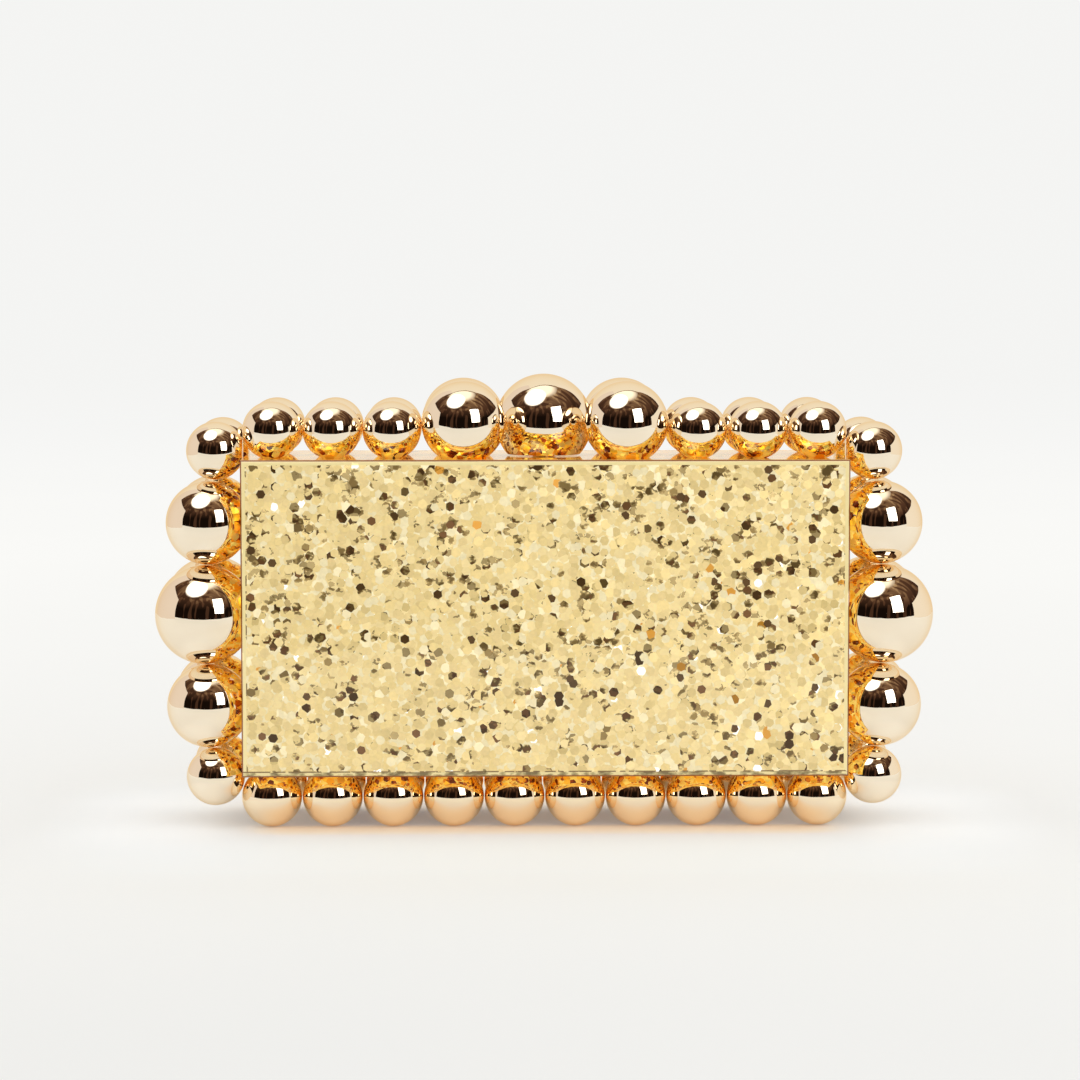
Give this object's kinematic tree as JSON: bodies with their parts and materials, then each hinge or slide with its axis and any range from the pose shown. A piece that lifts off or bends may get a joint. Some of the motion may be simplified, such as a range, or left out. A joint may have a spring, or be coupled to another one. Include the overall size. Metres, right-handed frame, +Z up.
{
  "type": "evening bag",
  "caption": "Hard box clutch of glitter acrylic, edged front and back with rings of mirror-plated balls, hinged along the bottom and shut by a turning ball clasp on top.",
  "frame": {"origin": "on the standing surface, under the middle of the bag: the lowest points of the bottom balls are at Z = 0", "axes": "+X along the width, to the right seen from the front; +Y from the front half to the back half, so the front faces -Y; +Z up"},
  "size_m": [0.2002, 0.0534, 0.1164],
  "materials": {
    "glitter_acrylic": "polished cast acrylic filled with hexagonal gold glitter",
    "plated_balls": "moulded plastic, vacuum-plated mirror champagne gold",
    "gilt_brass": "polished, gold-plated",
    "steel": "zinc-plated",
    "lining_cloth": "short-pile flocked cloth on a thin card former"
  },
  "bodies": {
    "back_half": {"back_face_panel": "glitter_acrylic", "back_top_wall": "glitter_acrylic", "back_bottom_wall": "glitter_acrylic", "back_left_wall": "glitter_acrylic", "back_right_wall": "glitter_acrylic", "back_lining": "lining_cloth", "back_top_small_balls": "plated_balls", "back_top_medium_balls": "plated_balls", "back_corner_balls": "plated_balls", "back_side_medium_balls": "plated_balls", "back_side_large_balls": "plated_balls", "back_bottom_small_balls": "plated_balls", "back_ball_screws": "steel", "back_corner_dowels": "steel", "hinge_back_leaves": "gilt_brass", "hinge_pins": "steel", "hinge_back_screws": "steel", "clasp_bracket": "gilt_brass", "clasp_bracket_screws": "steel"},
    "front_half": {"front_face_panel": "glitter_acrylic", "front_top_wall": "glitter_acrylic", "front_bottom_wall": "glitter_acrylic", "front_left_wall": "glitter_acrylic", "front_right_wall": "glitter_acrylic", "front_lining": "lining_cloth", "front_top_small_balls": "plated_balls", "front_top_medium_balls": "plated_balls", "front_corner_balls": "plated_balls", "front_side_medium_balls": "plated_balls", "front_side_large_balls": "plated_balls", "front_bottom_small_balls": "plated_balls", "front_ball_screws": "steel", "front_corner_dowels": "steel", "hinge_front_leaves": "gilt_brass", "hinge_front_screws": "steel", "clasp_keeper": "gilt_brass", "clasp_keeper_pin": "steel", "clasp_keeper_screws": "steel"},
    "clasp": {"clasp_ball": "plated_balls", "clasp_spindle": "gilt_brass", "clasp_hook": "gilt_brass", "clasp_washer": "steel", "clasp_end_screw": "steel"}
  },
  "joints": [
    {"name": "case_hinge", "type": "hinge", "parent": "back_half", "child": "front_half", "pos_m": [0, 0, 0.0125], "axis": [1, 0, 0], "range_deg": [0, 75]},
    {"name": "clasp_turn", "type": "hinge", "parent": "back_half", "child": "clasp", "pos_m": [0, 0, 0.0952], "axis": [0, 0, -1], "range_deg": [0, 90]}
  ]
}
